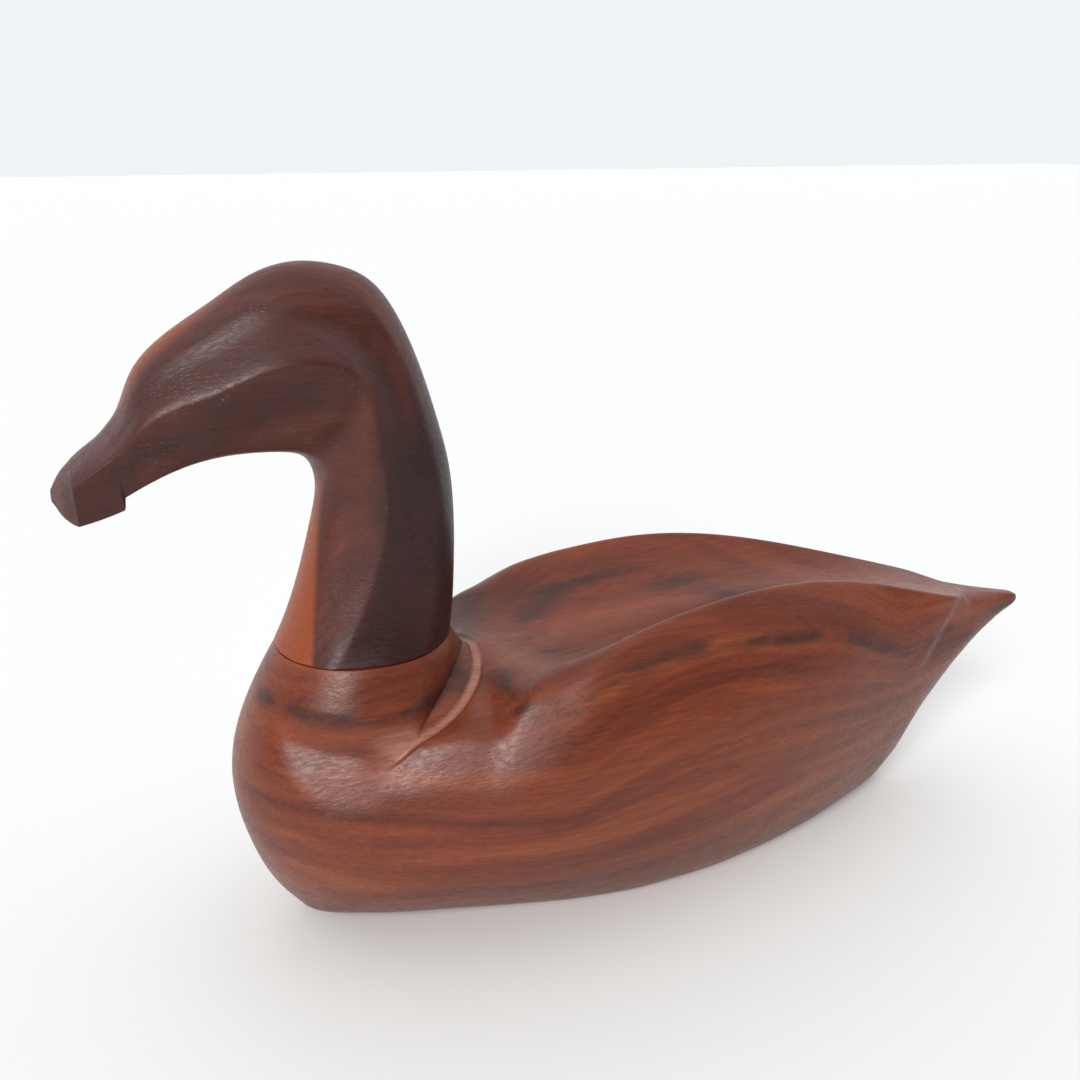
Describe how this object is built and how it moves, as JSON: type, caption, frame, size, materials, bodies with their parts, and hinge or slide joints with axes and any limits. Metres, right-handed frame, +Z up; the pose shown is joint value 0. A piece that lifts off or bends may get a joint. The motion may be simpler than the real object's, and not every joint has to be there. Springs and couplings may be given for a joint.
{
  "type": "carved wooden duck",
  "caption": "Carved wooden duck ornament: leaf-shaped body with folded wings meeting in a pointed tail, and an arched neck with a down-turned bill glued on.",
  "frame": {"origin": "middle of the overall box, on the flat underside that the bird stands on", "axes": "+X forward to the bill, +Y to the bird's left, +Z up"},
  "size_m": [0.1608, 0.0524, 0.0969],
  "materials": {
    "body_wood": "oiled satin, red-brown hardwood with dark growth lines",
    "head_wood": "oiled satin, dark plum-brown hardwood with orange sapwood streaks"
  },
  "bodies": {
    "root": {"body": "body_wood", "head_and_neck": "head_wood"}
  },
  "joints": []
}
